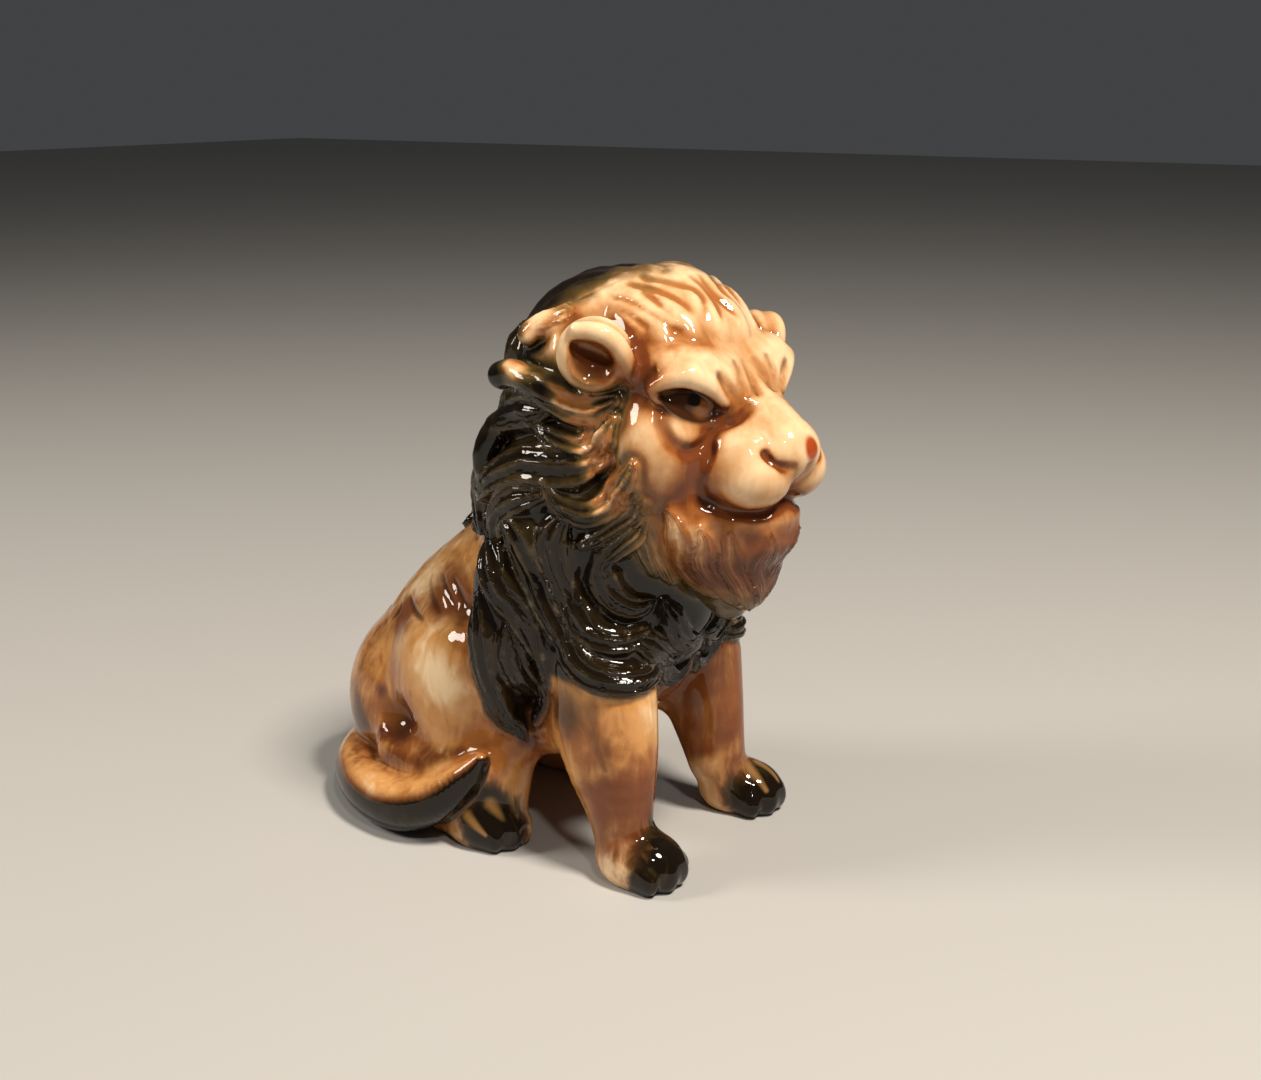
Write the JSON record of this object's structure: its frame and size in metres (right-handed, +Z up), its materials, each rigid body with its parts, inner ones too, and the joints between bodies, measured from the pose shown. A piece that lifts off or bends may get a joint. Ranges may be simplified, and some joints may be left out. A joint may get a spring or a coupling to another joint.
{
  "type": "seated lion figurine",
  "caption": "Seated glazed porcelain lion, upright on its front legs, with a thick carved mane, a turned head and a tail curled round its haunch.",
  "frame": {"origin": "middle of the figurine's footprint box, on the surface that it stands on", "axes": "+Z up, the lion faces -Y, its right side is -X"},
  "size_m": [0.0694, 0.125, 0.1291],
  "materials": {
    "glaze": "high gloss glaze over sprayed tan, brown and black-brown"
  },
  "bodies": {
    "root": {"lion_figure": "glaze"}
  },
  "joints": []
}
